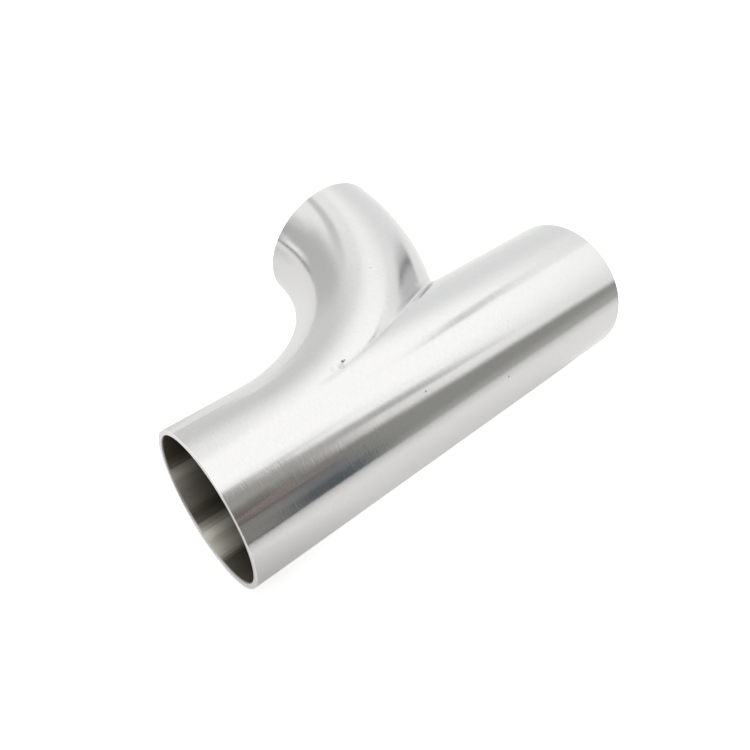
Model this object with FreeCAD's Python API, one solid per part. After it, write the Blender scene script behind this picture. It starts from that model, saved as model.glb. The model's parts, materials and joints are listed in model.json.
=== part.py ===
import FreeCAD, Part
import math
import os

# A welded pipe tee of polished stainless tube, in millimetres.
# A straight run tube lies along +X. A quarter bend of the same tube leaves it at a tangent near
# the inlet and sweeps round to an outlet that faces +Y. The wall of the run is cut open where the
# bend comes in, the bend is trimmed to the edge of that opening, and one butt weld goes all the
# way round it, ground flush, with a small hollow fillet that grows towards the crotch.
# The origin is the middle of the run's inlet face, and +Z is up.

# Tube, the same for the run and the branch
tube_od = 50.8
tube_wall = 1.65

# Run: the straight from the inlet face to where the bend leaves it, and the straight that is
# left between the crotch and the outlet face
run_before_bend = 25.4
run_past_crotch = 43.6

# Branch: the centre-line radius of the bend, and what is faced off the end of its quarter turn
bend_radius = 76.2
outlet_trim = 1.6

# Weld: its width across the seam, the radius of its hollow as a share of half that width, and
# the distance along the seam over which the walls are still too flat to each other to hold one
weld_width = 2.6
hollow_share = 0.85
flat_reach = 12.0

# Broken edges at the three cut ends
edge_break = 0.2

outer_radius = tube_od / 2
bore_radius = outer_radius - tube_wall
half_weld = weld_width / 2
hollow_radius = hollow_share * half_weld
crotch_reach = 2 * math.sqrt(bend_radius * outer_radius)
run_length = run_before_bend + crotch_reach + run_past_crotch
branch_height = bend_radius - outlet_trim

# How far the cutting solids reach past the tee, the spans of a moved seam's curve, and how near
# a face or an edge lies to the place where it is looked for
beyond = tube_od
seam_spans = 16
near = 0.001

V = FreeCAD.Vector
ALONG = V(1, 0, 0)
ACROSS = V(0, 1, 0)
UP = V(0, 0, 1)
BEND_START = V(run_before_bend, 0, 0)
BEND_CENTRE = V(run_before_bend, bend_radius, 0)


def run_bar(radius):
    """The run as a solid bar of the given radius."""
    return Part.makeCylinder(radius, run_length, V(0, 0, 0), ALONG)


def branch_bar(radius):
    """The bend as a solid bar of the given radius, faced off square at its outlet."""
    disc = Part.Face(Part.Wire(Part.makeCircle(radius, BEND_START, ALONG)))
    bend = disc.revolve(BEND_CENTRE, UP, 90)
    return bend.cut(half_space(V(-beyond, branch_height, -2 * beyond)))


def half_space(corner):
    """A box that reaches from its lowest corner past everything on the +X, +Y and +Z side."""
    reach = 2 * (run_length + bend_radius + 2 * beyond)
    return Part.makeBox(reach, reach, reach, corner)


def seam_edge(shift):
    """The plan of the seam from the start of the bend to past the branch's outlet, moved
    sideways by shift, towards the branch where it is positive.
    Two equal tubes, one straight and one bent, meet over the parabola
    y = s * s / (4 * bend_radius), for the outer walls and the bores alike, where s is the
    distance along the run from the start of the bend. Its focus is the centre of the bend."""
    reach = 2 * math.sqrt(bend_radius * (branch_height + beyond))
    if shift == 0:
        return Part.Parabola(BEND_CENTRE, BEND_START, UP).toShape(-reach, 0)
    points = []
    for step in range(seam_spans + 1):
        s = reach * step / seam_spans
        slope = s / (2 * bend_radius)
        size = math.hypot(1, slope)
        points.append(BEND_START + V(s - shift * slope / size, s * slope / 2 + shift / size, 0))
    curve = Part.BSplineCurve()
    curve.interpolate(points)
    return curve.toShape()


def branch_side(shift):
    """A prism over the branch's side of the seam, once the seam is moved sideways by shift.
    The seam turns a corner at the start of the bend, from the half ring round the side of the
    run to the parabola, and a seam moved towards the run goes round that corner in an arc."""
    curve = seam_edge(shift)
    low, high = sorted([vertex.Point for vertex in curve.Vertexes], key=lambda point: point.x)
    near_x = run_before_bend + min(shift, 0)
    outline = [curve, Part.makeLine(high, V(near_x, high.y, 0))]
    if shift < 0:
        corner = V(near_x, 0, 0)
        middle = BEND_START + V(-1, -1, 0).normalize() * -shift
        outline.append(Part.Arc(corner, middle, low).toShape())
    else:
        corner = low
    outline.append(Part.makeLine(V(near_x, high.y, 0), corner))
    face = Part.Face(Part.Wire(Part.__sortEdges__(outline)))
    face.translate(V(0, 0, -beyond))
    prism = face.extrude(V(0, 0, 2 * beyond))
    past_ring = half_space(V(run_before_bend + shift, -2 * beyond, -2 * beyond))
    return prism.common(past_ring)


def broken(tube, level, direction):
    """The tube with the edges of the cut end that stands at this level along an axis broken."""
    edges = []
    for face in tube.Faces:
        off = abs(face.CenterOfMass.dot(direction) - level)
        if isinstance(face.Surface, Part.Plane) and off < near:
            edges += face.Edges
    return tube.makeChamfer(edge_break, edges)


def run_pipe():
    """The run's tube before the opening is cut."""
    return run_bar(outer_radius).cut(run_bar(bore_radius))


def branch_pipe():
    """The bent tube before it is trimmed to the opening."""
    return branch_bar(outer_radius).cut(branch_bar(bore_radius))


def run_tube():
    """The run: a plain tube with the opening for the branch cut in its side."""
    tube = broken(run_pipe(), 0, ALONG)
    tube = broken(tube, run_length, ALONG)
    return tube.cut(branch_side(-half_weld))


def swept_branch():
    """The branch: a bent tube, trimmed to the opening in the run."""
    tube = broken(branch_pipe(), branch_height, ACROSS)
    return tube.common(branch_side(half_weld))


def weld_far_side():
    """The weld round the crotch, one half in the run's wall and one in the branch's, with the
    hollow fillet rolled along the line where their outsides meet."""
    past_flat = half_space(V(run_before_bend + flat_reach, -2 * beyond, -2 * beyond))
    run_half = run_pipe().common(branch_side(-half_weld)).cut(branch_side(0)).common(past_flat)
    branch_half = branch_pipe().common(branch_side(0)).cut(branch_side(half_weld)).common(past_flat)
    band = run_half.fuse(branch_half)
    seam = []
    for edge in band.Edges:
        middle = edge.valueAt((edge.FirstParameter + edge.LastParameter) / 2) - BEND_START
        on_seam = abs(middle.y - middle.x ** 2 / (4 * bend_radius)) < near
        on_outside = abs(math.hypot(middle.y, middle.z) - outer_radius) < near
        if on_seam and on_outside:
            seam.append(edge)
    return band.makeFillet(hollow_radius, seam)


def weld_near_side():
    """The weld where the walls lie flush: the half ring round the run and both its corners."""
    past_flat = half_space(V(run_before_bend + flat_reach, -2 * beyond, -2 * beyond))
    band = run_pipe().common(branch_side(-half_weld)).cut(branch_side(half_weld))
    return band.cut(past_flat)


def weld_seam():
    """The weld: one closed band of metal between the run and the branch."""
    return weld_near_side().fuse(weld_far_side())


def save(name, shape):
    """Writes one piece of the tee to its own file."""
    shape.exportStep(os.path.join("parts", name + ".step"))


os.makedirs("parts", exist_ok=True)
save("run_tube", run_tube())
save("swept_branch", swept_branch())
save("weld_seam", weld_seam())
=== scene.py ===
"""A welded pipe tee of polished stainless tube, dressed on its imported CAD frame.

A straight run lies along X, and a quarter bend of the same tube leaves its side and faces +Y. Every surface
here is worked out with numpy from the sizes of the frame, in metres, and each piece is one closed mesh with
exact normals, so that a reflection runs on without a break where two pieces are welded and ground flush.
"""
from collections import namedtuple
import json
import math

import bpy
import numpy as np
from mathutils import Matrix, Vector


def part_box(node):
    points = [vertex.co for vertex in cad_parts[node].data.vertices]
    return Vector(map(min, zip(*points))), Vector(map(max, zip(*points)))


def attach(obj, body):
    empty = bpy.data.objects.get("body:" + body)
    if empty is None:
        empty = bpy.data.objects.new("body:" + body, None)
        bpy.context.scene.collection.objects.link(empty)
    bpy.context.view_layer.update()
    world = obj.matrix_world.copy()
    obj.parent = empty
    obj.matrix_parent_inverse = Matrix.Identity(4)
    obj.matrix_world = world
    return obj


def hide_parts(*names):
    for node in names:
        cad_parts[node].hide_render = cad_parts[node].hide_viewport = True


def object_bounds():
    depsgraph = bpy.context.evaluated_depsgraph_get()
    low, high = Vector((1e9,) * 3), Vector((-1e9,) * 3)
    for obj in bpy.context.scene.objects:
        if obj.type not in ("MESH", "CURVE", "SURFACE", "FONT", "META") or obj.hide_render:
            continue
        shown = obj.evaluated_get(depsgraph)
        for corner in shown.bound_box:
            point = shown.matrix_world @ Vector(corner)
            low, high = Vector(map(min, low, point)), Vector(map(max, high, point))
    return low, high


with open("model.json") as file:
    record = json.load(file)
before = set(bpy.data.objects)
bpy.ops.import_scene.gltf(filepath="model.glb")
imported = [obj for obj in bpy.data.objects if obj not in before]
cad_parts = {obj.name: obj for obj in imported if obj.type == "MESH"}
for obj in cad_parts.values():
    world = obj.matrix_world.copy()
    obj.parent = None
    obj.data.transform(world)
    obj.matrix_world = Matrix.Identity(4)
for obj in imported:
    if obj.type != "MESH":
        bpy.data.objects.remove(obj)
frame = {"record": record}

bl_info = {
    "name": "Welded Pipe Tee",
    "version": (1, 0, 0),
    "blender": (4, 5, 0),
    "location": "View3D > Sidebar > Pipe Tee",
    "description": "Builds a polished welded pipe tee, its finishes and a plain studio",
    "category": "Object",
}

cad_low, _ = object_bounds()

# The finishes, in the order of each piece's material slots
POLISHED, BORE, FACED, WELD = range(4)


def mount(name):
    """One of the record's mounts."""
    return next(each for each in frame["record"]["mounts"] if each["name"] == name)


# Sizes that the frame gives: the run's radius and length, the bore, the weld's width and the branch
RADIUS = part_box("run_tube")[1][2]
RUN_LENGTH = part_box("run_tube")[1][0]
BORE_RADIUS = mount("run_bore")["dims"]["r_mm"] / 1000
BRANCH_AXIS = mount("branch_outlet")["pos_m"][0]
BRANCH_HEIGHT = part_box("swept_branch")[1][1]
HALF_WELD = (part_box("swept_branch")[0][0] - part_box("weld_seam")[0][0]) / 2
BEND_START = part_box("weld_seam")[0][0] + HALF_WELD


def setting(name, description, default, kind=bpy.props.FloatProperty, **limits):
    """A property of the tee that isn't negative."""
    return kind(name=name, description=description, default=default, min=0, **limits)


def metres(name, description, default):
    """A length in metres."""
    return setting(name, description, default, unit="LENGTH", precision=5)


def tint(name, description, default, **limits):
    """A colour or a light, as red, green and blue."""
    kind = bpy.props.FloatVectorProperty
    return setting(name, description, default, kind, size=3, subtype="COLOR", **limits)


class TeeSizes(bpy.types.PropertyGroup):
    """The tee's sizes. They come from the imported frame, which the pieces stand for."""
    radius: metres("Tube radius", "Outside radius of both tubes", RADIUS)
    bore: metres("Bore radius", "Inside radius of both tubes", BORE_RADIUS)
    run_length: metres("Run length", "Length of the straight tube from face to face", RUN_LENGTH)
    bend_start: metres("Bend start", "Distance from the inlet face to the start of the bend", BEND_START)
    bend_radius: metres("Bend radius", "Radius of the bend's centre line", BRANCH_AXIS - BEND_START)
    branch_height: metres("Branch height", "From the run's axis to the branch's outlet face", BRANCH_HEIGHT)
    half_weld: metres("Half weld", "Half the width of the weld across its seam", HALF_WELD)
    hollow: metres("Weld hollow", "Radius of the weld's hollow in the crotch", 0.85 * HALF_WELD)
    edge_break: metres("Edge break", "Radius of the broken edges at the three open ends", 0.0002)


class TeeLooks(bpy.types.PropertyGroup):
    """The tee's finishes and its studio."""
    steel: tint("Polished steel", "Colour of the polished outside", (0.625, 0.622, 0.615), max=1)
    # The bores' lighter and darker colours paint light and shade: bands of the light reflected into the
    # bores
    bore_lit_band: tint("Bore, light", "Colour of the bores' lighter streaks", (1.0, 0.96, 0.85), max=1)
    bore_shaded_band: tint("Bore, dark", "Colour of the bores' darker streaks", (0.055, 0.048, 0.032), max=1)
    weld_steel: tint("Weld metal", "Colour of the polished weld", (0.64, 0.635, 0.625), max=1)
    end_steel: tint("End steel", "Colour of the faced ends", (0.95, 0.94, 0.92), max=1)
    polish: setting("Polish roughness", "Roughness of the polished outside", 0.11, max=1, subtype="FACTOR")
    floor_tone: tint("Floor", "Colour of the pale floor", (0.92, 0.92, 0.92), max=1)
    floor_light: setting("Floor light", "Light up through the floor, which keeps its shadows faint", 0.19)
    floor_lift: setting("Floor lift", "Light added to the floor where the camera sees it", 0.5)
    low_light: tint("Low light", "Light of the studio near the horizon", (1.1, 1.1, 1.1), soft_max=4)
    high_light: tint("High light", "Light of the studio overhead", (1.5, 1.5, 1.5), soft_max=4)


# Steps of the grids: round a section along its back, over the dip, to the branch's corner and on to the
# crotch, along a tube beside the inlet, beside the outlet and round the bend, over the weld's lip, its
# strips and its hollow, and round a broken edge
BACK_STEPS = 62
DIP_STEPS = 16
CORNER_STEPS = 18
CROTCH_STEPS = 70
INLET_STEPS = 8
OUTLET_STEPS = 40
BEND_STEPS = 72
LIP_STEPS = 3
STRIP_STEPS = 4
HOLLOW_STEPS = 12
EDGE_STEPS = 6

# How strongly the steps towards the crotch crowd together at the branch's corner
CROWDING = 0.6

# Rounds that solve for the slope of a moved seam
ROUNDS = 12

# Corners as close as this become one vertex, and normals as close as this angle count as one
SAME_PLACE = 1e-7
SAME_WAY = 1e-6

# Rough ways to the weld from the opening's near and far side, and from the start of the branch
NEAR_WAY = (1.0, 1.0, 0.0)
FAR_WAY = (-0.3, 1.0, 0.0)
START_WAY = (-0.2, -1.0, 0.0)


def stack(*parts):
    """Joins coordinates, stretched to one shape, into points."""
    return np.stack(np.broadcast_arrays(*parts), axis=-1)


def run_point(radius, angle, along):
    """The run's wall: x is the distance along the run, y and z go round a circle of the radius, with the
    angle measured from straight up towards +Y."""
    return stack(along, radius * np.sin(angle), radius * np.cos(angle))


def run_normal(angle, along):
    """The run's outward normal: the same circle with a radius of one."""
    return stack(0 * along, np.sin(angle), np.cos(angle))


def bend_point(size, radius, angle, turn):
    """The bend's wall: a torus. Its section is a circle of the radius, with the angle from straight up
    towards the outside of the bend, and its centre has turned about the bend's centre by turn from the
    start of the bend."""
    reach = size.bend_radius + radius * np.sin(angle)
    return stack(
        size.bend_start + reach * np.sin(turn),
        size.bend_radius - reach * np.cos(turn),
        radius * np.cos(angle))


def bend_normal(angle, turn):
    """The bend's outward normal: away from the middle of its section."""
    return stack(np.sin(angle) * np.sin(turn), -np.sin(angle) * np.cos(turn), np.cos(angle))


def moved_seam(size, offset, shift):
    """Slope angle of the seam, moved sideways by shift towards the branch, where it lies the bend radius
    plus offset from the bend's centre. The seam is a parabola with its focus there: at slope angle a it
    lies bend_radius / cos(a)^2 from it, at a turn of 2 a, and its normal leans back by a. Each round puts
    the last angle into the small part of the moved point's distance."""
    reach = size.bend_radius + offset
    slope = np.zeros_like(reach)
    for _ in range(ROUNDS):
        straight = shift * np.cos(slope) + np.sqrt(reach ** 2 - (shift * np.sin(slope)) ** 2)
        slope = np.arccos(np.sqrt(np.clip(size.bend_radius / straight, 0, 1)))
    return slope


def branch_start(size, radius, angle):
    """Turn at which the branch begins: the later of the square cut past the bend's start and the seam moved
    by half the weld."""
    offset = radius * np.sin(angle)
    square = np.arcsin(size.half_weld / (size.bend_radius + offset))
    slope = moved_seam(size, np.maximum(offset, -size.half_weld), size.half_weld)
    back = size.bend_radius / np.cos(slope) ** 2 - size.half_weld * np.cos(slope)
    curved = 2 * slope + np.arctan2(size.half_weld * np.sin(slope), back)
    return np.where(offset > corner_height(size), np.maximum(square, curved), square)


def corner_height(size):
    """Offset of the branch's corner, where the moved seam crosses the square cut: the slope angle a there
    solves 2 bend_radius tan(a) - half_weld sin(a) = half_weld."""
    slope = 0.0
    for _ in range(ROUNDS):
        slope = math.atan(size.half_weld * (1 + math.sin(slope)) / (2 * size.bend_radius))
    straight = size.bend_radius / math.cos(slope) ** 2 - size.half_weld * math.cos(slope)
    return math.hypot(straight, size.half_weld * math.sin(slope)) - size.bend_radius


def seam_turn(size, radius, angle):
    """Turn at which a bend of this radius meets a run of the same radius, at the same angle round the
    section: its cosine is (bend_radius - offset) / (bend_radius + offset). It is none on the inner half of
    the bend."""
    offset = radius * np.maximum(np.sin(angle), 0)
    return np.arccos((size.bend_radius - offset) / (size.bend_radius + offset))


def seam_along(size, radius, angle):
    """Distance along the run to the same seam: 2 sqrt(bend_radius y) past the start of the bend."""
    rise = np.maximum(radius * np.sin(angle), 0)
    return size.bend_start + 2 * np.sqrt(size.bend_radius * rise)


def opening_near(size, radius, angle):
    """Near side of the opening in the run: square across, half a weld before the bend, with a round corner
    of the same radius down to where the opening ends."""
    rise = radius * np.sin(angle)
    return size.bend_start - np.sqrt(np.maximum(size.half_weld ** 2 - np.minimum(rise, 0) ** 2, 0))


def opening_far(size, radius, angle):
    """Far side of the opening in the run: the seam moved by half a weld towards the run. Its slope a at a
    height y solves bend_radius tan(a)^2 - half_weld cos(a) = y."""
    rise = np.maximum(radius * np.sin(angle), -size.half_weld)
    slope = np.zeros_like(rise)
    for _ in range(ROUNDS):
        slope = np.arctan(np.sqrt(np.maximum(rise + size.half_weld * np.cos(slope), 0) / size.bend_radius))
    return size.bend_start + 2 * size.bend_radius * np.tan(slope) + size.half_weld * np.sin(slope)


def steps(count):
    """Even shares from 0 to 1."""
    return np.linspace(0, 1, count + 1)


def section_back(size, radius):
    """Angles from the run's side at -Y up to where the opening begins, evenly spaced."""
    first = -math.pi / 2
    last = -math.asin(size.half_weld / radius)
    return first + (last - first) * steps(BACK_STEPS)


def section_dip(size, radius):
    """Angles from where the opening begins up to the top of the run, closer together at first, where the
    opening's far side leaves the corner along the run."""
    return -math.asin(size.half_weld / radius) * (1 - steps(DIP_STEPS) ** 2)


def section_rise(size, radius):
    """Angles from the top of the run, past the branch's corner, to the crotch at +Y. They stand closer
    together at the run's top and on both sides of the corner, where the seams run almost along the tube."""
    corner = math.asin(-corner_height(size) / radius)
    low = corner * (1 - np.cos(math.pi * steps(CORNER_STEPS))) / 2
    even = steps(CROTCH_STEPS)
    high = corner + (math.pi / 2 - corner) * ((1 - CROWDING) * even + CROWDING * even ** 2)
    return np.concatenate([low, high[1:]])


def both_sides(angles):
    """Angles on the upper side, followed by their mirror images on the lower side."""
    return np.concatenate([angles, math.pi - angles[::-1][1:]])


def whole_run(size, radius):
    """Angles all the way round the run, from -Y over the top and back from below."""
    upper = np.concatenate([
        section_back(size, radius), section_dip(size, radius)[1:], section_rise(size, radius)[1:]])
    return both_sides(upper)


def open_run(size, radius):
    """Angles of the run over the reach of its opening only."""
    upper = np.concatenate([section_dip(size, radius), section_rise(size, radius)[1:]])
    return both_sides(upper)


def whole_bend(size, radius):
    """Angles all the way round the bend, from its inner side over the top and back from below."""
    rise = section_rise(size, radius)
    return both_sides(np.concatenate([-rise[::-1], rise[1:]]))


def between(start, end, count):
    """Rows of values from start to end, one row for each place, as a grid."""
    return start[:, None] + (end - start)[:, None] * steps(count)


Patch = namedtuple("Patch", "points normals places corners finish")


def grid_patch(points, normals, places, finish):
    """A grid of points with its normals, its places on the polish map and its finish. Its corners are the
    four of each face, wound so that the faces look the way of the normals: the cross product of the
    diagonals is set against the normals over the whole patch."""
    rows, columns = points.shape[:2]
    index = np.arange(rows * columns).reshape(rows, columns)
    around = [index[:-1, :-1], index[1:, :-1], index[1:, 1:], index[:-1, 1:]]
    corners = np.stack(around, axis=-1).reshape(-1, 4)
    points, normals, places = points.reshape(-1, 3), normals.reshape(-1, 3), places.reshape(-1, 2)
    normals = normals / np.linalg.norm(normals, axis=-1, keepdims=True)
    corner = points[corners]
    facing = np.cross(corner[:, 2] - corner[:, 0], corner[:, 3] - corner[:, 1])
    if np.sum(facing * normals[corners].sum(axis=1)) < 0:
        corners = corners[:, ::-1]
    return Patch(points, normals, places, corners, finish)


def wall_patch(size, radius, points, normals, places):
    """Part of a tube's wall: polished and facing out, or at the bore's radius with the bore's finish and
    facing in."""
    facing, finish = (-1.0, BORE) if radius < size.radius else (1.0, POLISHED)
    return grid_patch(points, facing * normals, places, finish)


def run_patch(size, radius, angles, start, end, count):
    """Part of the run's wall between two distances along it. The polish map holds the distance along the
    run and the distance round it."""
    along = between(start, end, count)
    angle = angles[:, None]
    places = stack(along, size.radius * angle)
    return wall_patch(size, radius, run_point(radius, angle, along), run_normal(angle, along), places)


def bend_patch(size, radius, angles, start, end, count):
    """Part of the bend's wall between two turns. The polish map holds the distance along the centre line
    and the distance round the section, so that it goes on from the run's at the start of the bend."""
    turn = between(start, end, count)
    angle = angles[:, None]
    places = stack(size.bend_start + size.bend_radius * turn, -size.radius * angle)
    return wall_patch(size, radius, bend_point(size, radius, angle, turn), bend_normal(angle, turn), places)


def placed(name, data):
    """A new object in the scene."""
    made = bpy.data.objects.new(name, data)
    bpy.context.scene.collection.objects.link(made)
    return made


def closed_mesh(name, patches, materials):
    """One mesh from its patches. Corners that fall on one place become one vertex, and a face that this
    leaves with fewer than three corners goes. Each corner keeps its own exact normal and place on the
    polish map."""
    points, normals, places, corners, finish = zip(*patches)
    firsts = np.cumsum([0] + [len(each) for each in points])
    finish = np.repeat(finish, [len(each) for each in corners])
    corners = np.concatenate([each + first for each, first in zip(corners, firsts)])
    points, normals, places = (np.concatenate(each) for each in (points, normals, places))
    rounded = np.round(points / SAME_PLACE).astype(np.int64)
    met, vertex = np.unique(rounded, axis=0, return_inverse=True)
    vertex = vertex.reshape(-1)
    vertices = np.zeros((len(met), 3))
    vertices[vertex] = points
    ids = vertex[corners]
    kept = ids != np.roll(ids, -1, axis=1)
    whole = kept.sum(axis=1) >= 3
    source = corners[kept & whole[:, None]]
    totals = kept.sum(axis=1)[whole]

    mesh = bpy.data.meshes.new(name)
    mesh.vertices.add(len(vertices))
    mesh.vertices.foreach_set("co", vertices.ravel())
    mesh.loops.add(len(source))
    mesh.loops.foreach_set("vertex_index", vertex[source].astype(np.int32))
    mesh.polygons.add(len(totals))
    mesh.polygons.foreach_set("loop_start", (np.cumsum(totals) - totals).astype(np.int32))
    mesh.polygons.foreach_set("material_index", finish[whole].astype(np.int32))
    mesh.polygons.foreach_set("use_smooth", np.ones(len(totals), dtype=bool))
    mesh.update(calc_edges=True)
    mesh.uv_layers.new(name="polish").data.foreach_set("uv", places[source].ravel())
    mesh.normals_split_custom_set(normals[source])
    for material in materials:
        mesh.materials.append(material)
    return placed(name, mesh)


def end_profile(size, level, towards):
    """The section of an open end, from the outside to the bore: a quarter round of the broken edge, the
    flat face and the other quarter round. It gives the radius, the level along the tube and the normal's
    two parts."""
    quarter = np.linspace(0, math.pi / 2, EDGE_STEPS + 1)
    turn = np.concatenate([quarter, quarter[::-1]])
    inside = np.arange(len(turn)) > EDGE_STEPS
    drawn_in = size.edge_break * (1 - np.cos(turn))
    radii = np.where(inside, size.bore + drawn_in, size.radius - drawn_in)
    levels = level - towards * size.edge_break * (1 - np.sin(turn))
    outward = np.where(inside, -np.cos(turn), np.cos(turn))
    return radii, levels, outward, towards * np.sin(turn)


def through_wall(size, section, radii):
    """Angles of a section's lines at the radii in the wall, even from the outside's angles to the
    bore's."""
    outer, inner = (section(size, radius)[:, None] for radius in (size.radius, size.bore))
    return outer + (inner - outer) * (size.radius - radii) / (size.radius - size.bore)


def run_end(size, level, towards):
    """An open end of the run: its profile turned about the run's axis."""
    radii, levels, outward, forward = end_profile(size, level, towards)
    angle = through_wall(size, whole_run, radii)
    normals = stack(forward, outward * np.sin(angle), outward * np.cos(angle))
    return grid_patch(run_point(radii, angle, levels), normals, stack(levels, size.radius * angle), FACED)


def branch_end(size):
    """The open end of the branch, cut square across at its height. Each point of the profile lies on a
    torus of its own radius, turned until it stands at its level."""
    radii, levels, outward, forward = end_profile(size, size.branch_height, 1)
    angle = through_wall(size, whole_bend, radii)
    turn = turn_at_height(size, radii, angle, levels)
    normals = outward[:, None] * bend_normal(angle, turn) + forward[:, None] * np.array([0.0, 1.0, 0.0])
    places = stack(size.bend_start + size.bend_radius * turn, -size.radius * angle)
    return grid_patch(bend_point(size, radii, angle, turn), normals, places, FACED)


def turn_at_height(size, radius, angle, height):
    """Turn at which a line round the bend reaches a height above the run's axis: its cosine is (bend_radius
    - height) / (distance from the bend's centre)."""
    return np.arccos((size.bend_radius - height) / (size.bend_radius + radius * np.sin(angle)))


def cut_wall(size, section, edge, way):
    """The narrow wall where a tube was cut for the weld, from its outer to its inner edge. Its normals
    stand square to the edge and to the line across, on the side of the way given."""
    outer, inner = (edge(radius, section(size, radius)) for radius in (size.radius, size.bore))
    normals = np.cross(np.gradient(outer, axis=0), inner - outer)
    normals *= np.sign(normals @ way)[:, None]
    points = np.stack([outer, inner], axis=1)
    return grid_patch(points, np.stack([normals, normals], axis=1), points[..., :2], BORE)


def opening_walls(size, facing):
    """The walls of the opening in the run, near side and far side. With facing 1 they are the run's own and
    face the weld, and with facing -1 they are the weld's and face the run."""
    def edge_on(side):
        """The edge of one side at a radius."""
        return lambda radius, angle: run_point(radius, angle, side(size, radius, angle))

    return [
        cut_wall(size, open_run, edge_on(side), facing * np.array(way))
        for side, way in ((opening_near, NEAR_WAY), (opening_far, FAR_WAY))]


def branch_wall(size, facing):
    """The wall of the trimmed start of the branch, with facing 1 the branch's own, and with facing -1 the
    weld's."""
    def edge(radius, angle):
        """The edge at a radius."""
        return bend_point(size, radius, angle, branch_start(size, radius, angle))

    return cut_wall(size, whole_bend, edge, facing * np.array(START_WAY))


def run_tube_patches(size):
    """The run: its outside and its bore, each in two parts that meet below the opening, its two open ends
    and the walls of the opening."""
    patches = []
    for radius in (size.radius, size.bore):
        angles = whole_run(size, radius)
        first = np.full_like(angles, size.edge_break)
        near = opening_near(size, radius, angles)
        far = opening_far(size, radius, angles)
        last = np.full_like(angles, size.run_length - size.edge_break)
        patches.append(run_patch(size, radius, angles, first, near, INLET_STEPS))
        patches.append(run_patch(size, radius, angles, far, last, OUTLET_STEPS))
    return patches + [run_end(size, 0.0, -1), run_end(size, size.run_length, 1)] + opening_walls(size, 1)


def swept_branch_patches(size):
    """The branch: its outside and its bore from the weld to the outlet, the open end and the trimmed
    start."""
    patches = []
    for radius in (size.radius, size.bore):
        angles = whole_bend(size, radius)
        start = branch_start(size, radius, angles)
        end = turn_at_height(size, radius, angles, size.branch_height - size.edge_break)
        patches.append(bend_patch(size, radius, angles, start, end, BEND_STEPS))
    return patches + [branch_end(size), branch_wall(size, 1)]


def hollow_patch(size):
    """The hollow in the crotch, which a ball rolled along both outsides would leave. The ball's centre runs
    along the seam of two tubes that are larger by its radius, and between the walls the surface turns round
    that centre from one wall's normal to the other's, by even steps of the angle between them."""
    rise = both_sides(section_rise(size, size.radius))
    bigger = size.radius + size.hollow
    along = seam_along(size, bigger, rise)
    centre = run_point(bigger, rise, along)
    run_side = run_normal(rise, along)[:, None]
    branch_side = bend_normal(rise, seam_turn(size, bigger, rise))[:, None]
    opened = np.arccos(np.clip(np.sum(run_side * branch_side, axis=-1), -1, 1))
    share = steps(HOLLOW_STEPS)
    parallel = opened[..., None] < SAME_WAY
    spread = np.where(parallel, 1, np.sin(opened)[..., None])
    from_run = np.sin((1 - share) * opened)[..., None] * run_side
    from_branch = np.sin(share * opened)[..., None] * branch_side
    direction = np.where(parallel, run_side, (from_run + from_branch) / spread)
    places = stack(along[:, None], size.radius * rise[:, None] + size.hollow * opened * share)
    return grid_patch(centre[:, None] - size.hollow * direction, direction, places, WELD)


def weld_seam_patches(size):
    """The weld: the strips of the run's wall and of the bend's wall on either side of the seam, inside and
    out, the hollow between them on the outside, and the walls where it meets the two tubes. Outside, the
    strips end where the hollow's ball touches them."""
    patches = [hollow_patch(size)] + opening_walls(size, -1) + [branch_wall(size, -1)]
    for radius, ball in ((size.radius, size.hollow), (size.bore, 0.0)):
        angles = open_run(size, radius)
        bend_angles = whole_bend(size, radius)
        near = opening_near(size, radius, angles)
        far = opening_far(size, radius, angles)
        start = np.full_like(angles, size.bend_start)
        seam = seam_along(size, radius + ball, angles)
        turn = seam_turn(size, radius + ball, bend_angles)
        end = branch_start(size, radius, bend_angles)
        patches.append(run_patch(size, radius, angles, near, start, LIP_STEPS))
        patches.append(run_patch(size, radius, angles, seam, far, STRIP_STEPS))
        patches.append(bend_patch(size, radius, bend_angles, turn, end, STRIP_STEPS))
    return patches


def fill(tree, made, values):
    """A node's outputs, once its inputs are linked or set by name or number."""
    for key, value in dict(values).items():
        if isinstance(value, bpy.types.NodeSocket):
            tree.links.new(value, made.inputs[key])
        else:
            made.inputs[key].default_value = value
    return made.outputs


def node(tree, kind, inputs=(), **settings):
    """The outputs of a new shader node with these inputs and settings."""
    made = tree.nodes.new("ShaderNode" + kind)
    for key, value in settings.items():
        setattr(made, key, value)
    return fill(tree, made, inputs)


def maths(tree, operation, *values):
    """A Math node's value."""
    return node(tree, "Math", enumerate(values), operation=operation)[0]


def mapped(tree, value, span, low, high, shape="LINEAR"):
    """A value carried over from its span to the range from low to high."""
    return node(tree, "MapRange", enumerate((value, *span, low, high)), interpolation_type=shape)[0]


def eased(tree, value, off, full):
    """A smooth step of a value: nothing where it is at off or beyond, and one where it is at full or
    beyond."""
    return mapped(tree, value, (off, full), 0.0, 1.0, "SMOOTHSTEP")


def vectors(tree, operation, *values):
    """A Vector Math node's outputs."""
    return node(tree, "VectorMath", enumerate(values), operation=operation)


def scaled(tree, vector, factor):
    """A vector or a colour times a number."""
    return node(tree, "VectorMath", {0: vector, "Scale": factor}, operation="SCALE")[0]


def blended(tree, share, under, over, label=""):
    """A colour with a share of another laid over it, each a socket or red, green and blue."""
    under, over = (
        each if isinstance(each, bpy.types.NodeSocket) else (*each, 1.0) for each in (under, over))
    return node(tree, "Mix", {0: share, 6: under, 7: over}, data_type="RGBA", label=label)[2]


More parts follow.
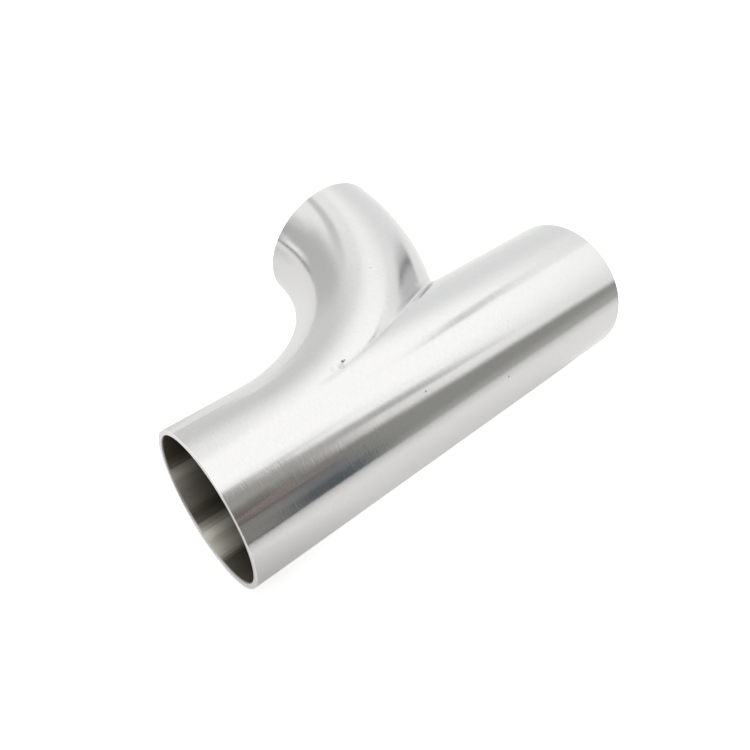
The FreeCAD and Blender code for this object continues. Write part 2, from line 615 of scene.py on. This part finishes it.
def new_group(name, inputs, outputs):
    """A shader node group with these sockets, which are vectors where they are called Map or Place and else
    numbers, what its inputs give and the node that takes its outputs."""
    group = bpy.data.node_groups.new(name, "ShaderNodeTree")
    for in_out, sockets in (("INPUT", inputs), ("OUTPUT", outputs)):
        for socket in sockets:
            kind = "NodeSocketVector" if socket in ("Map", "Place") else "NodeSocketFloat"
            group.interface.new_socket(name=socket, in_out=in_out, socket_type=kind)
    return group, group.nodes.new("NodeGroupInput").outputs, group.nodes.new("NodeGroupOutput")


def use_group(tree, group, **values):
    """A group placed in a tree, with its inputs linked or set by name."""
    named = {key.replace("_", " "): value for key, value in values.items()}
    return node(tree, "Group", named, node_tree=group)


# The polish, in metres: the spacing and the length of its fine and coarse lines, the reach of the wall's
# waves and of the clouds where it is duller
FINE_LINES = (0.0003, 0.002)
COARSE_LINES = (0.0018, 0.012)
WAVES = 0.012
CLOUDS = 0.009


def polish_group():
    """The mop's lines round the tube, as noise drawn out round the section, over a slow waviness of the
    wall. It gives a height in metres for the bump, a share of duller patches and a tone that follows the
    lines."""
    group, given, result = new_group(
        "Polishing lines", ("Map", "Place", "Fine lines", "Coarse lines", "Waves"),
        ("Height", "Dull", "Tone"))

    def noise(at, scale, detail):
        """Noise about a mean of none."""
        made = node(group, "TexNoise", {0: at, "Scale": scale, "Detail": detail})
        return maths(group, "SUBTRACT", made[0], 0.5)

    def lines(spacing, length):
        """Noise that changes over the spacing along the tube and over the length round it."""
        scale = (1 / spacing, 1 / length, 1.0)
        return noise(node(group, "Mapping", {0: given["Map"], "Scale": scale})[0], 1.0, 2.0)

    fine = lines(*FINE_LINES)
    coarse = lines(*COARSE_LINES)
    waves = noise(given["Place"], 1 / WAVES, 1.0)
    clouds = noise(given["Place"], 1 / CLOUDS, 3.0)
    height = maths(group, "MULTIPLY", fine, given["Fine lines"])
    height = maths(group, "MULTIPLY_ADD", coarse, given["Coarse lines"], height)
    height = maths(group, "MULTIPLY_ADD", waves, given["Waves"], height)
    fill(group, result, {
        "Height": height, "Dull": maths(group, "ADD", clouds, 0.5), "Tone": maths(group, "ADD", fine, 0.5)})
    return group


Mark = namedtuple("Mark", "name place size depth dark rough")

# Marks of the making: each is a place on the tee in metres, its size, how deep it goes, how dark it is and
# how broken its bottom is. Where a mark goes in, its darkness is painted shade in its hollow
MARKS = (
    Mark("pinhole in the weld", (0.0509, 0.0035, 0.0254), 0.0006, 2.5e-4, 0.75, 0.0),
    Mark("lip of the pinhole", (0.0517, 0.0036, 0.0254), 0.0004, 1.5e-4, 0.5, 0.0),
    Mark("end of the bead", (0.0496, 0.0024, 0.0253), 0.0016, 1e-5, 0.0, 1.4e-4),
    Mark("tail of the bead", (0.0465, 0.0031, 0.0254), 0.0012, 3e-5, 0.04, 4e-5),
    Mark("pit under the bright band", (0.0665, -0.0162, 0.0196), 0.0004, 1.2e-4, 0.6, 0.0),
    Mark("pit in the lower side", (0.0981, -0.0230, 0.0107), 0.0005, 1e-4, 0.35, 0.0),
    Mark("nick in the far side", (0.1315, 0.0115, 0.0227), 0.0006, 6e-5, 0.15, 0.0),
    Mark("nick in the branch", (0.0847, 0.0301, 0.0254), 0.0005, 7e-5, 0.12, 0.0),
    Mark("knot in the crotch", (0.0954, 0.0184, 0.0208), 0.0008, -8e-5, 0.12, 8e-5),
)


# The crumbs in some marks: how many lie along a metre, how far they bend a mark's edge, the two levels of
# their noise between which a speck darkens, and how much it darkens for each metre of their height
CRUMBS = 2600.0
CRUMB_BEND = 0.0006
SPECK_LEVELS = (0.05, 0.16)
SPECK_DARK = 3000


def marks_group():
    """Small marks, each a soft round spot about its place, whole to a quarter of its size and gone at its
    size. It gives their height in metres and how much they darken the metal, which is painted shade where a
    mark goes in."""
    group, given, result = new_group("Making marks", ("Place",), ("Height", "Dark"))

    crumbs = node(group, "TexNoise", {0: given["Place"], "Scale": CRUMBS, "Detail": 2.0})
    bent = scaled(group, vectors(group, "SUBTRACT", crumbs[1], (0.5, 0.5, 0.5))[0], CRUMB_BEND)
    place = vectors(group, "ADD", given["Place"], bent)[0]
    broken = maths(group, "SUBTRACT", crumbs[0], 0.5)
    specks = eased(group, broken, *SPECK_LEVELS)
    height = 0.0
    dark = 0.0
    for mark in MARKS:
        away = vectors(group, "DISTANCE", place, mark.place)["Value"]
        spot = eased(group, away, mark.size, mark.size / 4)
        deep = -mark.depth
        shade = mark.dark
        if mark.rough:
            deep = maths(group, "MULTIPLY_ADD", broken, 2 * mark.rough, deep)
            shade = maths(group, "MULTIPLY_ADD", specks, SPECK_DARK * mark.rough, shade)
        height = maths(group, "MULTIPLY_ADD", spot, deep, height)
        # Where a mark goes in, this darkening is painted shade in its hollow
        dark = maths(group, "MULTIPLY_ADD", spot, shade, dark)
    fill(group, result, {"Height": height, "Dark": dark})
    return group


Band = namedtuple("Band", "name offset width first full last depth dark")

# Bands along the ground seam, in metres: how far each lies beside the seam, towards the branch, its width
# to each side, where it begins, is whole and has ended, past the start of the bend, its depth and how dark
# it is. Their darkness is painted shade in these shallow grooves along the seam
BANDS = (
    Band("ground hollow", -0.0004, 0.0019, 0.012, 0.02, 0.05, 2e-5, 0.08),
    Band("toe on the run", -0.0016, 0.00095, 0.06, 0.071, 0.084, 1.3e-4, 0.6),
    Band("toe on the branch", 0.00105, 0.00022, 0.048, 0.06, 0.1, 3e-5, 0.08),
)

# The distance over which a band ends
BAND_END = 0.006


def seam_group(size):
    """The ground seam round the crotch, from the place on the tee. In plan the seam is the parabola y = s^2
    / (4 bend_radius) over the distance s past the start of the bend, and the way beside it is the rise
    above the parabola over the root of 1 + (s / (2 bend_radius))^2. Each band is the product of three
    smooth steps: away from its own line, from where it begins, and to where it ends. It gives their height
    in metres and how much they darken the metal."""
    group, given, result = new_group("Ground seam", ("Place",), ("Height", "Dark"))
    place = node(group, "SeparateXYZ", {0: given["Place"]})
    past = maths(group, "SUBTRACT", place[0], size.bend_start)
    lean = maths(group, "DIVIDE", past, 2 * size.bend_radius)
    parabola = maths(group, "MULTIPLY", maths(group, "MULTIPLY", lean, past), 0.5)
    rise = maths(group, "SUBTRACT", place[1], parabola)
    steep = maths(group, "SQRT", maths(group, "MULTIPLY_ADD", lean, lean, 1.0))
    beside = maths(group, "DIVIDE", rise, steep)
    height = 0.0
    dark = 0.0
    for band in BANDS:
        away = maths(group, "ABSOLUTE", maths(group, "SUBTRACT", beside, band.offset))
        begun = eased(group, past, band.first, band.full)
        ended = eased(group, past, band.last, band.last - BAND_END)
        along = maths(group, "MULTIPLY", begun, ended)
        share = maths(group, "MULTIPLY", eased(group, away, band.width, 0.0), along)
        height = maths(group, "MULTIPLY_ADD", share, -band.depth, height)
        # The bands' darkening is painted shade in their shallow grooves
        dark = maths(group, "MULTIPLY_ADD", share, band.dark, dark)
    fill(group, result, {"Height": height, "Dark": dark})
    return group


# The two levels of the clouds' noise between which the metal goes from its least to its greatest roughness
CLOUD_LEVELS = (0.3, 0.7)


def new_material(name):
    """A material, its node tree and its shader."""
    material = bpy.data.materials.new(name)
    material.use_nodes = True
    return material, material.node_tree, material.node_tree.nodes["Principled BSDF"]


def steel(name, colour, lines, worked=(), *, roughness, spread, anisotropy, streaks, fine,
          coarse=0.0, waves=0.0, metallic=1.0, gloss=0.5):
    """A metal whose reflections are drawn out along the tube, because the polishing lines run round it,
    with duller clouds that spread its roughness. Its colour is numbers, or a function that makes it in the
    material's tree from the polish map and the place on the tee, and its tone has streaks that follow the
    lines. The fine lines, the coarse lines and the waves have their heights in metres, and the groups in
    worked add their own."""
    _, tree, shader = new_material(name)
    polish_map = node(tree, "UVMap", uv_map="polish")[0]
    place = node(tree, "TexCoord")["Object"]
    if callable(colour):
        colour = colour(tree, polish_map, place)
    finish = use_group(
        tree, lines, Map=polish_map, Place=place, Fine_lines=fine, Coarse_lines=coarse, Waves=waves)
    tone = maths(tree, "MULTIPLY_ADD", finish["Tone"], 2 * streaks, 1 - streaks)
    height = finish["Height"]
    for group in worked:
        more = use_group(tree, group, Place=place)
        height = maths(tree, "ADD", height, more["Height"])
        tone = maths(tree, "SUBTRACT", tone, more["Dark"])
    fill(tree, shader, {
        "Base Color": scaled(tree, colour, tone),
        "Roughness": mapped(tree, finish["Dull"], CLOUD_LEVELS, roughness - spread, roughness + spread),
        "Normal": node(tree, "Bump", {"Height": height, "Strength": 1.0, "Distance": 1.0})[0],
        "Tangent": node(tree, "Tangent", direction_type="UV_MAP", uv_map="polish")[0],
        "Metallic": metallic, "Anisotropic": anisotropy, "Specular IOR Level": gloss})


# Painted light and shade along the bore: lighter and darker bands that stand in for the light reflected in
# through its mouths. Each is the angle round the bore in degrees, from the run's side at -Y over the top,
# and the share of the lighter colour
BORE_LIGHT_BANDS = (
    (0, 0.42), (18, 0.3), (34, 0.55), (52, 0.28), (67, 0.36), (84, 0.62), (99, 0.3), (118, 0.42),
    (138, 0.12), (150, 0.0), (187, 0.02), (197, 0.1), (202, 0.44), (206, 0.56), (213, 0.37), (223, 0.27),
    (229, 0.25), (241, 0.06), (247, 0.11), (253, 0.48), (259, 1.0), (265, 0.66), (272, 0.7), (277, 0.57),
    (285, 0.06), (326, 0.02), (342, 0.3), (360, 0.42))

# The bore's fine streaks: how many lie in a metre along it and round it, and the share of the way round by
# which they shift the painted bands
BORE_GRAIN = (25.0, 900.0, 1.0)
GRAIN_SHIFT = 0.02

# Painted light and shade in the bore behind its mouths: the depth in metres over which the painted light
# from a mouth halves, that extra light, the share under it, the least that is left, and the depths between
# which the rim, painted as bright as the faces, ends
HALVING = 0.0048
MOUTH_PAINTED_LIGHT = 1.45
DEEP_PAINTED_LIGHT = 0.12
LEAST_PAINTED_LIGHT = 0.36
RIM = (0.0008, 0.0003)


def bore_colour(tree, polish_map, place):
    """The bore's painted light and shade: lighter and darker bands from a ramp over the share of the way
    round, which is the map's distance round the tube over its outer circumference plus a quarter, less
    whole turns.
    Fine streaks are noise drawn out along the tube. The painted light from the mouths halves with each step
    of depth away from the nearest of the three mouths, leaving painted shade deeper in, and right behind
    each mouth the bore is painted as bright as the faces."""
    size = bpy.context.scene.tee_sizes
    looks = bpy.context.scene.tee_looks
    round_it = node(tree, "SeparateXYZ", {0: polish_map})[1]
    turns = maths(tree, "MULTIPLY_ADD", round_it, 1 / (2 * math.pi * size.radius), 0.25)
    drawn = node(tree, "Mapping", {0: polish_map, "Scale": BORE_GRAIN})[0]
    fine = node(tree, "TexNoise", {0: drawn, "Scale": 1.0, "Detail": 2.0})[0]
    shifted = maths(tree, "MULTIPLY_ADD", maths(tree, "SUBTRACT", fine, 0.5), GRAIN_SHIFT, turns)
    ramp = tree.nodes.new("ShaderNodeValToRGB")
    ramp.color_ramp.interpolation = "EASE"
    stops = ramp.color_ramp.elements
    while len(stops) < len(BORE_LIGHT_BANDS):
        stops.new(0.5)
    for stop, (angle, share) in zip(stops, BORE_LIGHT_BANDS):
        stop.position = angle / 360
        stop.color = (share, share, share, 1.0)
    # The ramp gives painted light and shade: lighter and darker bands round the bore
    light = fill(tree, ramp, {0: maths(tree, "FRACT", shifted)})[0]
    painted_bands = blended(tree, light, looks.bore_shaded_band, looks.bore_lit_band)
    across = node(tree, "SeparateXYZ", {0: place})
    deep = maths(tree, "MINIMUM", across[0], maths(tree, "SUBTRACT", size.run_length, across[0]))
    deep = maths(tree, "MINIMUM", deep, maths(tree, "SUBTRACT", size.branch_height, across[1]))
    # Painted light from the mouths, halving with depth: painted shade deep in the bore
    halved = maths(tree, "POWER", 0.5, maths(tree, "DIVIDE", deep, HALVING))
    painted_light = maths(tree, "MULTIPLY_ADD", halved, MOUTH_PAINTED_LIGHT, DEEP_PAINTED_LIGHT)
    faded = scaled(tree, painted_bands, maths(tree, "MAXIMUM", painted_light, LEAST_PAINTED_LIGHT))
    # Right behind each mouth the bore takes the faces' colour: painted light at the rim
    return blended(tree, eased(tree, deep, *RIM), faded, looks.end_steel)


def finishes():
    """The four finishes, made once: the polished outside, the duller bore, the cut ends and the weld's
    hollow."""
    names = ("tube_polish", "bore_wall", "faced_end", "weld_polish")
    if names[POLISHED] not in bpy.data.materials:
        looks = bpy.context.scene.tee_looks
        lines = polish_group()
        worked = (marks_group(), seam_group(bpy.context.scene.tee_sizes))
        steel(
            names[POLISHED], looks.steel, lines, worked, roughness=looks.polish, spread=0.02,
            anisotropy=0.5, streaks=0.07, fine=1.2e-5, coarse=1e-5, waves=4e-5)
        steel(
            names[BORE], bore_colour, lines, roughness=0.33, spread=0.03,
            anisotropy=0.85, streaks=0.08, fine=6e-6, coarse=6e-6, metallic=0.35, gloss=0.1)
        steel(
            names[FACED], looks.end_steel, lines, roughness=0.25, spread=0.03,
            anisotropy=0.0, streaks=0.04, fine=4e-6)
        steel(
            names[WELD], looks.weld_steel, lines, worked, roughness=0.22, spread=0.02,
            anisotropy=0.0, streaks=0.08, fine=1e-5, coarse=8e-6, waves=6e-5)
    return [bpy.data.materials[name] for name in names]


def built(name, patches):
    """A piece of the tee, from the function that gives its patches."""
    return closed_mesh(name, patches(bpy.context.scene.tee_sizes), finishes())


class TEE_OT_run_tube(bpy.types.Operator):
    """Build the straight run with the opening for the branch in its side"""
    bl_idname = "tee.run_tube"
    bl_label = "Run Tube"

    def execute(self, context):
        piece = built("polished_run", run_tube_patches)
        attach(piece, "root")
        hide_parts("run_tube")
        return {"FINISHED"}


class TEE_OT_swept_branch(bpy.types.Operator):
    """Build the bent branch, trimmed to the opening in the run"""
    bl_idname = "tee.swept_branch"
    bl_label = "Swept Branch"

    def execute(self, context):
        piece = built("polished_branch", swept_branch_patches)
        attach(piece, "root")
        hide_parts("swept_branch")
        return {"FINISHED"}


class TEE_OT_weld_seam(bpy.types.Operator):
    """Build the weld between the run and the branch, flush but for its hollow in the crotch"""
    bl_idname = "tee.weld_seam"
    bl_label = "Weld Seam"

    def execute(self, context):
        piece = built("polished_weld", weld_seam_patches)
        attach(piece, "root")
        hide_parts("weld_seam")
        return {"FINISHED"}


Card = namedtuple("Card", "name left right low high soft_sides soft_edges light tilt", defaults=[0.0])
EDGES = ("Left", "Right", "Low", "High")

# The studio's cards, laid over each other in this order. Their edges are degrees round from +X and degrees
# up, and each edge fades over its own softness. The light is red, green and blue. The low and high edges
# rise by tilt degrees for each degree from the left.
CARDS = (
    Card("left sky", 58, 200, 30, 64, (20, 10), (20, 24), (1.26, 1.26, 1.25)),
    Card("side screen", 78, 112, -30, 30, (24, 10), (8, 24), (0.73, 0.73, 0.735)),
    Card("back screen", 20, 62, -30, 30, (16, 14), (8, 34), (1.06, 1.065, 1.085)),
    Card("left screen", 100, 200, -30, 30, (30, 10), (8, 24), (0.69, 0.69, 0.685)),
    Card("near screen", 62, 80, -30, 34, (8, 16), (8, 34), (0.91, 0.91, 0.92)),
    Card("low strip", 56, 72, -10, 3, (8, 5), (4, 10), (1.19, 1.19, 1.18)),
    Card("bright strip", 112, 150, -0.6, 4.4, (16, 10), (2, 4.5), (1.34, 1.34, 1.31)),
    Card("high strip", 129, 150, 0, 9, (8, 10), (3, 8), (1.05, 1.05, 1.03)),
    Card("dark strip", 104, 150, -8, -1.6, (8, 10), (3, 1.2), (0.42, 0.42, 0.39)),
    Card("upper screen", 82, 94, 32, 56, (8, 5), (14, 10), (0.83, 0.83, 0.81)),
    Card("left shade", 117, 136, 26, 33, (6, 8), (6, 10), (0.88, 0.88, 0.87)),
    Card("right screen", -8, 21, 1, 31, (8, 7), (5, 20), (0.74, 0.74, 0.75)),
    Card("right dark edge", 14.4, 16.6, 2, 28, (2.2, 2.4), (9, 7), (0.13, 0.135, 0.15)),
    Card("overhead shade", 9, 24, 36, 49.5, (7, 10), (12, 5), (1.27, 1.27, 1.28), -0.25),
    Card("lower shade", 12, 28, 30, 38, (10, 16), (12, 10), (1.1, 1.1, 1.11)),
    Card("overhead line", 8.5, 23, 52.6, 56.2, (9, 6), (3, 3), (0.78, 0.78, 0.80), -0.48),
    Card("overhead notch", 11, 20, 51.2, 54.0, (5, 5), (2.5, 2.5), (0.5, 0.5, 0.52), -0.48),
    Card("near sky", -58, -38, 38, 68, (6, 14), (10, 10), (1.37, 1.37, 1.36)),
    Card("near upper screen", -120, -55.2, 20, 65, (8, 12), (8, 6), (0.62, 0.615, 0.595)),
    Card("upper corner", -57, -47.5, 56.5, 60.2, (4, 18), (4, 3), (0.83, 0.83, 0.82)),
    Card("slanted card", -60, -44.5, 44.5, 57, (6, 9), (6, 9), (0.63, 0.63, 0.63), -0.9),
    Card("bright notch", -61, -51, 30, 40, (8, 8), (7, 9), (1.06, 1.06, 1.04), -0.3),
    Card("near dark screen", -67.5, -36, -12, 33.9, (4, 6), (4, 9), (0.385, 0.385, 0.365), -0.71),
    Card("near low screen", -63, -36, -12, -2, (8, 6), (4, 12), (0.55, 0.55, 0.52), 0.3),
    Card("dark screen", -120, -63, 24, 60, (8, 12), (4, 26), (0.27, 0.26, 0.24)),
    Card("high dark screen", -120, -65, 42, 70, (8, 12), (8, 8), (0.48, 0.47, 0.44)),
    Card("grey card", -120, -72, -12, 22, (8, 2.5), (4, 10), (0.33, 0.325, 0.305)),
    Card("dark card", -72.5, -64.6, -12, 26, (3, 3.4), (8, 10), (0.215, 0.22, 0.235)),
    Card("darkest card", -72.6, -65.6, -5, 9, (3, 3), (4, 8), (0.1, 0.12, 0.14)),
    Card("warm dark card", -120, -70, 20, 35, (8, 6), (8, 8), (0.19, 0.165, 0.155)),
    Card("upper warm line", -77, -66, 27.8, 29.0, (4, 3), (0.9, 0.9), (0.62, 0.52, 0.49), 0.33),
    Card("dark warm line", -77, -66, 26.6, 27.6, (4, 3), (0.9, 0.9), (0.13, 0.085, 0.075), 0.33),
    Card("middle warm line", -77, -66.5, 26.6, 27.4, (4, 3), (0.9, 0.9), (0.56, 0.46, 0.43), 0.12),
    Card("lower warm line", -75, -67, 24.4, 25.3, (4, 3), (0.9, 0.9), (0.52, 0.43, 0.41), -0.05),
    Card("low dark line", -100, -71.5, -7, -2.9, (4, 3), (2, 1.2), (0.19, 0.18, 0.165)),
    Card("far left screen", 137, 190, -30, 75, (16, 10), (8, 20), (0.5, 0.5, 0.49)),
    Card("behind the camera", -200, -110, -30, 42, (10, 30), (12, 20), (0.33, 0.325, 0.31)),
)


def card_group():
    """A soft-edged card in the studio's sky. Each edge is a smooth step from Out, where the card has ended,
    to In, where it is whole, and its share is the product of the four. Lean takes the card's tilt out of
    the height."""
    sides = [f"{edge} {side}" for edge in EDGES for side in ("Out", "In")]
    group, given, result = new_group("Studio card", ["Round", "Up", "Lean"] + sides, ("Share",))
    level = maths(group, "MULTIPLY_ADD", given["Round"], given["Lean"], given["Up"])
    share = None
    for edge, value in zip(EDGES, (given["Round"], given["Round"], level, level)):
        step = eased(group, value, given[edge + " Out"], given[edge + " In"])
        share = maths(group, "MULTIPLY", share, step) if share else step
    fill(group, result, {"Share": share})
    return group


def card_sockets(card):
    """A card's values for its group. The edges on the left and below rise into the card over their
    softness, and the two others fall. Where the card leans, its low and high edges hold for the level at
    its left edge."""
    lifted = card.left * card.tilt
    places = (card.left, card.right, card.low - lifted, card.high - lifted)
    values = {"Lean": -card.tilt}
    for edge, place, soft, way in zip(EDGES, places, card.soft_sides + card.soft_edges, (1, -1, 1, -1)):
        values[edge + "_Out"] = place - way * soft / 2
        values[edge + "_In"] = place + way * soft / 2
    return values


# Degrees up between which the sky goes from its low light to its high light
SKY_RISE = (12.0, 54.0)
WHITE = (1.0, 1.0, 1.0, 1.0)


def studio_world(looks):
    """The studio as a sky that brightens upwards, with the cards laid over it. The camera itself sees plain
    white."""
    world = bpy.data.worlds.new("studio")
    bpy.context.scene.world = world
    world.use_nodes = True
    tree = world.node_tree
    tree.nodes.clear()
    group = card_group()
    way = node(tree, "SeparateXYZ", {0: node(tree, "TexCoord")["Generated"]})
    round_it = maths(tree, "DEGREES", maths(tree, "ARCTAN2", way[1], way[0]))
    up = maths(tree, "DEGREES", maths(tree, "ARCSINE", way[2]))
    light = blended(tree, eased(tree, up, *SKY_RISE), looks.low_light, looks.high_light)
    for card in CARDS:
        share = use_group(tree, group, Round=round_it, Up=up, **card_sockets(card))["Share"]
        light = blended(tree, share, light, card.light, label=card.name)
    sky = node(tree, "Background", {0: light})[0]
    plain = node(tree, "Background", {0: WHITE})[0]
    camera_ray = node(tree, "LightPath")["Is Camera Ray"]
    node(tree, "OutputWorld", {0: node(tree, "MixShader", {0: camera_ray, 1: sky, 2: plain})[0]})


# The floor in metres: its least and greatest x and y, and the two values of y between which it dims, to a
# share of its light
FLOOR_X = (-0.9, 1.1)
FLOOR_Y = (-0.42, 0.46)
DIM_Y = (-0.42, -0.1)
DIM_SHARE = 0.42

# The oval of shade beside the inlet: its middle, how much y counts beside x, the two distances between
# which it ends, and the share of light in it
OVAL_X = -0.03
OVAL_Y = 0.03
OVAL_DRAWN = 0.4
OVAL_REACH = (0.045, 0.085)
OVAL_SHARE = 0.75


def pale_floor(looks):
    """The floor under the tee: a flat sheet that dims towards the camera and in an oval beside the inlet.
    The camera itself sees it lifted to white, with a faint shadow, and the tee mirrors it as it is."""
    level = float(cad_low[2])
    (low_x, high_x), (low_y, high_y) = FLOOR_X, FLOOR_Y
    plan = ((low_x, low_y), (high_x, low_y), (high_x, high_y), (low_x, high_y))
    mesh = bpy.data.meshes.new("studio_floor")
    mesh.from_pydata([(x, y, level) for x, y in plan], [], [(0, 1, 2, 3)])
    material, tree, shader = new_material("pale_floor")
    place = node(tree, "TexCoord")["Object"]
    across = node(tree, "SeparateXYZ", {0: place})[1]
    dimmed = mapped(tree, across, DIM_Y, DIM_SHARE, 1.0)
    shift = (-OVAL_X, -OVAL_DRAWN * OVAL_Y, 0.0)
    from_oval = vectors(tree, "MULTIPLY_ADD", place, (1.0, OVAL_DRAWN, 0.0), shift)[0]
    away = vectors(tree, "LENGTH", from_oval)["Value"]
    share = maths(tree, "MULTIPLY", dimmed, mapped(tree, away, OVAL_REACH, OVAL_SHARE, 1.0))
    own_light = maths(tree, "MULTIPLY", share, looks.floor_light)
    camera_ray = node(tree, "LightPath")["Is Camera Ray"]
    fill(tree, shader, {
        "Base Color": scaled(tree, looks.floor_tone, share),
        "Emission Strength": maths(tree, "MULTIPLY_ADD", camera_ray, looks.floor_lift, own_light),
        "Emission Color": WHITE, "Roughness": 0.9, "Specular IOR Level": 0.1})
    mesh.materials.append(material)
    floor = placed("studio_floor", mesh)


# The camera: where it stands, its own three axes in the frame, and its lens
CAMERA_PLACE = (-0.040333, -0.094427, 0.175101)
CAMERA_RIGHT = (0.77829, -0.62622, 0.04591)
CAMERA_UP = (0.43641, 0.59206, 0.67751)
CAMERA_BACK = (-0.45145, -0.50726, 0.73408)
LENS = 33.356
SHIFT = (0.0563, -0.0349)


def photo_camera():
    """The camera at the photograph's viewing angle, with everything in focus."""
    data = bpy.data.cameras.new("camera")
    data.sensor_width = 36.0
    data.lens = LENS
    data.shift_x, data.shift_y = SHIFT
    data.clip_start = 0.01
    camera = placed("camera", data)
    rows = list(zip(CAMERA_RIGHT, CAMERA_UP, CAMERA_BACK, CAMERA_PLACE))
    camera.matrix_world = Matrix(rows + [(0.0, 0.0, 0.0, 1.0)])
    bpy.context.scene.camera = camera


class TEE_OT_studio(bpy.types.Operator):
    """Build the pale floor, the soft studio light and the camera"""
    bl_idname = "tee.studio"
    bl_label = "Studio"

    def execute(self, context):
        looks = context.scene.tee_looks
        studio_world(looks)
        pale_floor(looks)
        photo_camera()
        context.scene.view_settings.view_transform = "Standard"
        context.scene.view_settings.look = "None"
        return {"FINISHED"}


class TEE_PT_panel(bpy.types.Panel):
    """Lists the tee's sizes, looks and pieces"""
    bl_idname = "TEE_PT_panel"
    bl_label = "Pipe Tee"
    bl_space_type = "VIEW_3D"
    bl_region_type = "UI"
    bl_category = "Pipe Tee"

    def draw(self, context):
        for group in (context.scene.tee_sizes, context.scene.tee_looks):
            box = self.layout.box()
            for name in group.__annotations__:
                box.prop(group, name)
        for piece in OPERATORS:
            self.layout.operator(piece.bl_idname)


OPERATORS = (TEE_OT_run_tube, TEE_OT_swept_branch, TEE_OT_weld_seam, TEE_OT_studio)
CLASSES = (TeeSizes, TeeLooks) + OPERATORS + (TEE_PT_panel,)


def register():
    """Adds the classes, and the two groups of properties to the scene."""
    for each in CLASSES:
        bpy.utils.register_class(each)
    bpy.types.Scene.tee_sizes = bpy.props.PointerProperty(type=TeeSizes)
    bpy.types.Scene.tee_looks = bpy.props.PointerProperty(type=TeeLooks)


def unregister():
    """Takes them away again."""
    del bpy.types.Scene.tee_looks
    del bpy.types.Scene.tee_sizes
    for each in reversed(CLASSES):
        bpy.utils.unregister_class(each)


def main():
    """Builds the tee and its studio."""
    register()
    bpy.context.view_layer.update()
    bpy.ops.tee.run_tube()
    bpy.ops.tee.swept_branch()
    bpy.ops.tee.weld_seam()
    bpy.ops.tee.studio()


if __name__ == "__main__":
    main()
